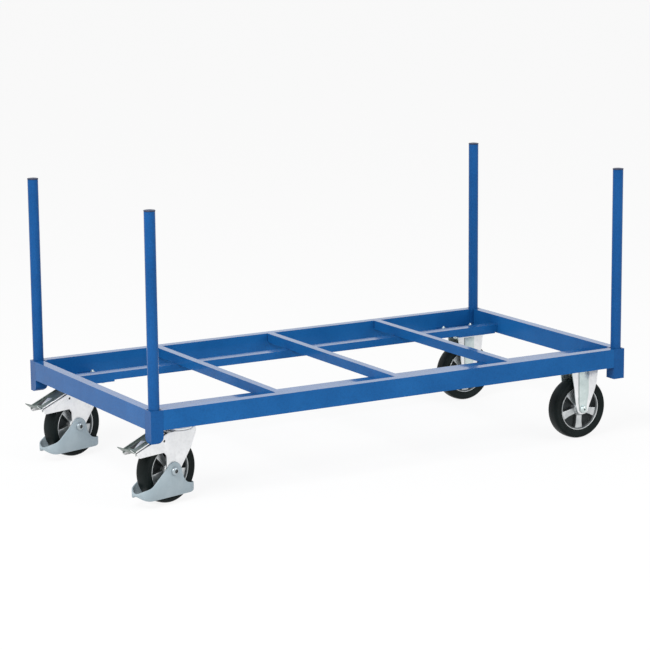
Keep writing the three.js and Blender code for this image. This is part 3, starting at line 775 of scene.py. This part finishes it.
GUARD_NOSE, GUARD_TAIL = 50, -167
GUARD_TOP = [(50.2, 48), (30, 51), (4, 57), (-10, 74), *arc(-TRAIL, WHEEL_R, 27.5, 5, 135, 20),
             (-130, 65.5), (-146, 59.5), (-157, 56), (-163, 52), (-166.2, 48.5), (-167.2, 46)]
GUARD_LOW = [(-167.2, 38), (-164, 33), (-158, 29), (-149, 25.5), (-138, 24), (28, 24), (41, 28), (50.2, 35)]
GUARD_STEP = 2.6
GUARD_LIP_SHARES = [(0.0, 0.35), (0.12, 0.12), (0.35, 0.0), (0.65, 0.0), (0.88, 0.12), (1.0, 0.35)]


def guard_stations(top):
    """Places round the guard's wall, each with the way it faces: nose, one side, tail, other side."""
    nose, tail, apart = GUARD_NOSE - GUARD_OUT, GUARD_TAIL + GUARD_OUT, 0.6
    along = sorted({round(x, 2) for x, _ in top if tail + apart < x < nose - apart}, reverse=True)
    stations = [(nose, math.radians(angle)) for angle in range(-90, 91, 6)]
    stations += [(x, math.radians(90)) for x in along]
    stations += [(tail, math.radians(angle)) for angle in range(90, 271, 6)]
    stations += [(x, math.radians(270)) for x in reversed(along)]
    return stations


def guard_mesh():
    """Foot guard as a wall round the wheel whose upper and lower edges follow the side view."""
    top, low = smooth_run(GUARD_TOP, GUARD_STEP), smooth_run(GUARD_LOW, GUARD_STEP)
    stations = guard_stations(top)
    verts, faces = [], []
    wall = GUARD_OUT - GUARD_IN
    for x, angle in stations:
        c, s = math.cos(angle), math.sin(angle)
        high, bottom = (height_on(run, x + GUARD_OUT * c) for run in (top, low))
        rows = [(share, high - drop * wall) for share, drop in GUARD_LIP_SHARES]
        rows += [(share, bottom + drop * wall) for share, drop in reversed(GUARD_LIP_SHARES)]
        for share, z in rows:
            r = GUARD_OUT - wall * share
            verts.append((x + r * c, r * s, z))
    count, total = 2 * len(GUARD_LIP_SHARES), len(stations)
    for i in range(total):
        here, there = i * count, (i + 1) % total * count
        for j in range(count):
            k = (j + 1) % count
            faces.append([here + j, here + k, there + k, there + j])
    return carved("guard", mesh_of("guard", verts, faces), [axle_hole(-TRAIL)], "DIFFERENCE")


TREAD_DROP, TREAD_HALF, TREAD_THICK = 4.5, 30, 3
TREAD_IN = (PEDAL_IN[0], PEDAL_IN[1] - TREAD_DROP)
TREAD_OUT = (PEDAL_OUT[0], PEDAL_OUT[1] - TREAD_DROP)
CHEEK_IN, CHEEK_OUT, CHEEK_REACH = 27, 30, 8
# The crease strip on each cheek is painted black as the shadow line above the fork's wing.
SHADOW_LINE_LAP, SHADOW_LINE_RISE, SHADOW_LINE_LOW, SHADOW_LINE_HIGH = 1, 0.5, 6.2, 4.2
PIN_LAP, PIN_REACH = 1.5, 5
PRESSED_EDGE = 0.6
FRAME_BARS = [(6, -22, 7.5, 22), (68, -22, 69.5, 22), (6, -22, 69.5, -20.5), (6, 20.5, 69.5, 22)]
BAR_LOW, BAR_HIGH, BAR_EDGE = -0.6, 0.9, 0.3


def tread_place():
    """The tread's own place: its outer edge as the start, forward up its slope."""
    slope = math.atan2(TREAD_IN[1] - TREAD_OUT[1], TREAD_IN[0] - TREAD_OUT[0])
    return Matrix.Translation((TREAD_OUT[0] * MM, 0, TREAD_OUT[1] * MM)) @ Matrix.Rotation(-slope, 4, "Y")


def tread_mesh():
    (in_x, in_z), (out_x, out_z), (lip_x, lip_z) = TREAD_IN, TREAD_OUT, PEDAL_LIP
    outline = [(lip_x, lip_z - 2.6), (out_x - 1, out_z - TREAD_THICK), (in_x, in_z - TREAD_THICK),
               (in_x, in_z), (out_x + 3, out_z + 1.0), (out_x - 4, out_z + 0.8), (lip_x + 0.6, lip_z)]
    bends = [0.8, 6, 0.6, 0.6, 4, 4, 0.8]
    return softened(prism("tread", rounded(outline, bends), -TREAD_HALF, TREAD_HALF), PRESSED_EDGE, 2, 50)


def cheek_parts(side):
    """One cheek of the pedal with its crease, a raised strip that stands for the shadow line above the fork's
    wing, and its trunnion pin.
    """
    pivot_x, pivot_z = PIVOT
    outline = [(PEDAL_OUT[0], PEDAL_OUT[1] - 14), (-88, 200.5),
               *arc(pivot_x, pivot_z, CHEEK_REACH, -200, 10, 12), (-74, 205.2), PEDAL_IN, PEDAL_OUT]
    cheek = prism("cheek", outline, *side_of_wheel(side, CHEEK_IN, CHEEK_OUT))
    corners = ((PEDAL_OUT, SHADOW_LINE_LOW), (PEDAL_IN, SHADOW_LINE_LOW),
               (PEDAL_IN, SHADOW_LINE_HIGH), (PEDAL_OUT, SHADOW_LINE_HIGH))
    crease = prism("crease", [(x, z - drop) for (x, z), drop in corners],
                   *side_of_wheel(side, CHEEK_OUT - SHADOW_LINE_LAP, CHEEK_OUT + SHADOW_LINE_RISE))
    low, high = side_of_wheel(side, CHEEK_OUT - PIN_LAP, CHEEK_OUT + PIN_REACH)
    pin = rod("pin", TRUNNION_R, low, high, 24, "Y", (pivot_x, 0, pivot_z))
    return [softened(cheek, PRESSED_EDGE, 2, 50), crease, pin]


def pedal_mesh():
    """Pedal with the outer faces of its cheeks in the second look, a bright painted highlight where they
    catch the light, and their creases in the third, black as a painted shadow line.
    """
    parts = [part for side in (-1, 1) for part in cheek_parts(side)]
    for low_x, low_y, high_x, high_y in FRAME_BARS:
        bar = block("bar", (low_x, low_y, BAR_LOW), (high_x, high_y, BAR_HIGH))
        parts.append(moved(softened(bar, BAR_EDGE, 1, 50), tread_place()))
    whole = carved("pedal", tread_mesh(), parts)
    for face in whole.polygons:
        y = abs(face.center.y) / MM
        # Outer cheek faces get a painted highlight, the crease strips a painted shadow line.
        if y > CHEEK_OUT + 0.1:
            face.material_index = 2
        elif y > CHEEK_OUT - 0.1 and abs(face.normal.y) > 0.9:
            face.material_index = 1
    return whole


# Two plates on the tread, outlined as (forward, across) from its outer edge: the dark one is painted shadow
# in the hollow of a pressed arrow, the bright one a painted highlight on its lit half.
ARROW_TONES = {
    "dark": ([(17, 16.5), (17, 0.5), (59, 16.5)], SHADOW_BLACK),
    "bright": ([(19.5, -2.5), (64, -3.5), (61, 14.5)], FORK),
}
ARROW_LOW, ARROW_HIGH, ARROW_EDGE = -0.4, 1.0, 0.2


def arrow_plate(corners):
    plate = prism("arrow", corners, ARROW_LOW, ARROW_HIGH, "plan")
    return moved(softened(plate, ARROW_EDGE, 1, 50), tread_place())


def race_mesh():
    section = [(10.4, 217.4), (45.0, 217.4), (46.4, 218.2), (46.8, 220.0), (46.8, 223.4), (45.9, 224.8),
               (45.9, 226.0), (46.9, 227.2), (47.8, 228.6), (48.0, 231.5), (47.2, 233.6), (45.8, 234.6),
               (10.4, 234.6)]
    return lathe("race", section, 80)


def kingpin_mesh():
    seat, top = CROWN_LOW - SEAM, 239.3
    section = [(0, 205.2), (6, 205.3), (12, 206.0), (16.5, 207.4), (18.6, 209.3), (19.0, seat), (PIN_R, seat),
               (PIN_R, top), (0, top)]
    return lathe("kingpin", section, 48)


def shoe_mesh():
    long_half, wide_half, low, edge = 18, 21, 204.0, 1.4
    top = CROWN_LOW - SEAM
    body = block("shoe", (-TRAIL - long_half, -wide_half, low), (-TRAIL + long_half, wide_half, top))
    return softened(body, edge, 3)


def add_fixed_castor(name, fork):
    at = place(*centre_of(f"fixed_fork_{name}"))
    piece(f"fixed_fork_{name}_pressing", fork, "frame", [ZINC, FORK, ZINC_SHADE],
          [f"fixed_fork_{name}"], at, 40)
    add_wheel("fixed", name, at, 0, RIB_FACE)
    add_plate_bolts(f"{name}_right", at)


UNDER_FRAME = (("swivel_plate", FORK, "pressing"), ("swivel_race", FORK, "rings"), ("kingpin", ZINC, "pin"))


def swivel_meshes():
    return {
        "swivel_plate": swivel_plate_mesh(), "swivel_race": race_mesh(), "kingpin": kingpin_mesh(),
        "shoe": shoe_mesh(), "fork": swivel_fork_mesh(), "guard": guard_mesh(), "pedal": pedal_mesh(),
    }


def add_swivel_castor(name, meshes):
    x, y = centre_of(f"swivel_plate_{name}")
    square, turned = place(x, y), place(x, y, CASTOR_TURN)
    for kind, look, ending in UNDER_FRAME:
        node = f"{kind}_{name}"
        piece(f"{node}_{ending}", meshes[kind], "frame", look, [node], square)
    add_plate_bolts(f"{name}_left", square)
    castor, pressed, sliding = f"castor_{name}", f"pedal_{name}", f"shoe_{name}"
    piece(f"swivel_fork_{name}_pressing", meshes["fork"], castor, FORK,
          [f"swivel_fork_{name}"], turned, 40)
    add_wheel("swivel", name, turned, -TRAIL, GUARD_OUT)
    piece(f"foot_guard_{name}_moulding", meshes["guard"], castor, GUARD,
          [f"foot_guard_{name}"], turned, 50)
    piece(f"brake_pedal_{name}_pressing", meshes["pedal"], pressed, [PEDAL, FORK, SHADOW_BLACK],
          [f"brake_pedal_{name}"], turned)
    for tone, (corners, look) in ARROW_TONES.items():
        piece(f"brake_arrow_{name}_{tone}", arrow_plate(corners), pressed, look, (), turned)
    piece(f"brake_shoe_{name}_block", meshes["shoe"], sliding, DARK,
          [f"brake_shoe_{name}"], turned)


def add_castors():
    fork, meshes = fixed_fork_mesh(), swivel_meshes()
    for name, _ in SIDES:
        add_fixed_castor(name, fork)
        add_swivel_castor(name, meshes)


# Weld beads
CROSS_BEAD, CORNER_BEAD, SEAM_BEAD, FOOT_BEAD, MOUNT_BEAD = 2.2, 1.8, 2.5, 1.6, 1.7


def bead(start, end, radius):
    """A rippled bead of weld along a straight joint."""
    a, b = Vector(start), Vector(end)
    along = (b - a).normalized()
    side = along.cross(Vector((0, 0, 1)))
    if side.length < 0.1:
        side = along.cross(Vector((1, 0, 0)))
    side.normalize()
    up = side.cross(along)
    length, ripple = (b - a).length, 1.6
    steps = max(6, int(length / ripple))
    verts, faces, sides = [], [], 8
    for i in range(steps + 1):
        swell = radius * (0.86 + 0.14 * math.sin(i * 1.9) + 0.05 * math.sin(i * 0.71))
        if i in (0, steps):
            swell *= 0.35
        for k in range(sides):
            angle = TAU * k / sides
            around = side * math.cos(angle) + up * math.sin(angle)
            verts.append(a + along * (i / steps * length) + around * swell)
    for i in range(steps):
        for k in range(sides):
            j = (k + 1) % sides
            faces.append([i * sides + k, i * sides + j, (i + 1) * sides + j, (i + 1) * sides + k])
    faces.append(list(range(sides)))
    faces.append([steps * sides + k for k in reversed(range(sides))])
    return mesh_of("weld", verts, faces)


def crossing_beads(low, high):
    """Beads at both ends of a cross tube: up its sides and along its foot."""
    beads, below_top, above_foot, from_side = [], 6, 3, 1
    for y in (low.y, high.y):
        for x in (low.x, high.x):
            beads.append(bead((x, y, high.z - below_top), (x, y, low.z + above_foot), CROSS_BEAD))
        beads.append(bead((low.x + from_side, y, low.z), (high.x - from_side, y, low.z), CROSS_BEAD))
    return beads


def corner_beads(low, high, side, end):
    """Beads between a socket and the rail, and between it and the end member."""
    inner_x, outer_x = (high.x, low.x) if end < 0 else (low.x, high.x)
    inner_y, outer_y = (high.y, low.y) if side < 0 else (low.y, high.y)
    rail_inset, member_inset, rail_gap, member_gap, lift = 3.8, 2.65, 5, 4, 1
    foot_start, foot_end, foot_lift = 4, 1.5, 0.5
    rail_y, member_x = outer_y - side * rail_inset, outer_x - end * member_inset
    low_z, foot_z = RAIL_BOTTOM + lift, RAIL_BOTTOM + foot_lift
    foot = [(inner_x, outer_y - side * inset, foot_z) for inset in (foot_start, foot_end)]
    return [
        bead((inner_x, rail_y, RAIL_TOP - rail_gap), (inner_x, rail_y, low_z), CORNER_BEAD),
        bead((member_x, inner_y, RAIL_TOP - member_gap), (member_x, inner_y, low_z), SEAM_BEAD),
        bead(*foot, FOOT_BEAD),
    ]


def mount_beads(low, high, tube_side, rail_side):
    """Two short beads along the inner tube and two along the rail, on a mounting plate."""
    length, lift, start_shares = 48, 0.2, (0.05, 0.62)
    beads, z = [], high.z + lift
    for y in (tube_side, rail_side):
        for share in start_shares:
            x = low.x + (high.x - low.x) * share
            beads.append(bead((x, y, z), (x + length, y, z), MOUNT_BEAD))
    return beads


def add_welds():
    crossings, corners, mounts = [], [], []
    for name in CROSS_TUBES:
        crossings += crossing_beads(*box_mm(name))
    for side_name, side in SIDES:
        outer = 0 if side < 0 else 1
        tube_side = box_mm(f"inner_member_{side_name}")[outer].y
        for end_name, end in ENDS:
            corners += corner_beads(*box_mm(f"socket_{side_name}_{end_name}"), side, end)
            plate = box_mm(f"mount_plate_{side_name}_{end_name}")
            mounts += mount_beads(*plate, tube_side, plate[outer].y)
    # The beads take the darker blue, painted shade along the joints.
    piece("welds_crossmembers", joined("welds", crossings), "frame", WELD_SHADE, (), None, 60)
    piece("welds_corners", joined("welds", corners), "frame", WELD_SHADE, (), None, 60)
    piece("welds_mount_plates", joined("welds", mounts), "frame", WELD_SHADE, (), None, 60)


# Floor, light and camera, in metres and degrees
FLOOR_REACH, FLOOR_SHADE, FLOOR_WHITE = 30.0, 0.86, 0.88
STUDIO_LEVEL = 0.62
LAMP_TARGET = (0, 0, 0.3)
CAMERA_SPOT = (-3.793412, -6.583451, 1.875454)
YAW, PITCH, ROLL = 30.102, 11.002, -0.51
LENS, SENSOR = 134.226, 36.0


def seen_directly(tree):
    """One where the camera, a reflection or a look through something sees the spot, else nought."""
    path = tree.nodes.new("ShaderNodeLightPath")
    total = path.outputs["Is Camera Ray"]
    for ray in ("Is Glossy Ray", "Is Transmission Ray"):
        add = tree.nodes.new("ShaderNodeMath")
        add.operation, add.use_clamp = "ADD", True
        tree.links.new(total, add.inputs[0])
        tree.links.new(path.outputs[ray], add.inputs[1])
        total = add.outputs[0]
    return total


def blended(tree, factor, first, second, target):
    mix = tree.nodes.new("ShaderNodeMixShader")
    for index, source in enumerate((factor, first, second)):
        tree.links.new(source, mix.inputs[index])
    tree.links.new(mix.outputs[0], target)


def stage_look(name, shade):
    """Pale floor: white where the camera or a reflection sees it, with the shadow of the cart kept."""
    material = bpy.data.materials.new(name)
    material.use_nodes = True
    tree = material.node_tree
    tree.nodes.clear()
    out = tree.nodes.new("ShaderNodeOutputMaterial")
    diffuse = tree.nodes.new("ShaderNodeBsdfDiffuse")
    diffuse.inputs["Color"].default_value = (shade, shade, shade, 1)
    glow = tree.nodes.new("ShaderNodeEmission")
    glow.inputs["Strength"].default_value = 1.0
    weight = tree.nodes.new("ShaderNodeMath")
    weight.operation = "MULTIPLY"
    weight.inputs[1].default_value = FLOOR_WHITE
    tree.links.new(seen_directly(tree), weight.inputs[0])
    blended(tree, weight.outputs[0], diffuse.outputs[0], glow.outputs[0], out.inputs["Surface"])
    return material


def add_floor():
    mesh = bpy.data.meshes.new("floor")
    corners = [(x, y, 0) for x, y in rectangle(-FLOOR_REACH, -FLOOR_REACH, FLOOR_REACH, FLOOR_REACH)]
    mesh.from_pydata(corners, [], [(0, 1, 2, 3)])
    mesh.materials.append(stage_look("floor_pale", FLOOR_SHADE))
    floor = bpy.data.objects.new("floor", mesh)
    bpy.context.scene.collection.objects.link(floor)


def add_world(level):
    """Soft light of the given level from all round, seen as white."""
    world = bpy.data.worlds.new("studio")
    bpy.context.scene.world = world
    world.use_nodes = True
    tree = world.node_tree
    tree.nodes.clear()
    out = tree.nodes.new("ShaderNodeOutputWorld")
    lights = []
    for strength in (level, 1.0):
        light = tree.nodes.new("ShaderNodeBackground")
        light.inputs["Color"].default_value = (1, 1, 1, 1)
        light.inputs["Strength"].default_value = strength
        lights.append(light.outputs[0])
    blended(tree, seen_directly(tree), *lights, out.inputs["Surface"])


def add_lamp(name, spot, size, power):
    data = bpy.data.lights.new(name, "AREA")
    data.shape, data.size, data.energy = "DISK", size, power
    lamp = bpy.data.objects.new(name, data)
    lamp.location = spot
    lamp.rotation_euler = (Vector(LAMP_TARGET) - Vector(spot)).to_track_quat("-Z", "Y").to_euler()
    bpy.context.scene.collection.objects.link(lamp)


def add_camera():
    yaw, pitch, roll = (math.radians(angle) for angle in (YAW, PITCH, ROLL))
    forward = Vector((math.sin(yaw) * math.cos(pitch), math.cos(yaw) * math.cos(pitch), -math.sin(pitch)))
    right = Vector((math.cos(yaw), -math.sin(yaw), 0))
    up = right.cross(forward)
    side = right * math.cos(roll) + up * math.sin(roll)
    top = up * math.cos(roll) - right * math.sin(roll)
    data = bpy.data.cameras.new("photo_view")
    data.lens, data.sensor_width = LENS, SENSOR
    data.clip_start, data.clip_end = 0.1, 100.0
    camera = bpy.data.objects.new("photo_view", data)
    turn = Matrix((side, top, -forward)).transposed().to_4x4()
    camera.matrix_world = Matrix.Translation(CAMERA_SPOT) @ turn
    bpy.context.scene.collection.objects.link(camera)
    bpy.context.scene.camera = camera


dress_frame()
add_stakes()
add_castors()
add_welds()
add_floor()
add_world(STUDIO_LEVEL)
add_lamp("key", (-4.2, -2.4, 4.6), 3.0, 300)
add_lamp("fill", (3.6, -4.4, 3.4), 3.5, 90)
add_camera()

bpy.context.scene.view_settings.view_transform = "Standard"
bpy.context.view_layer.update()
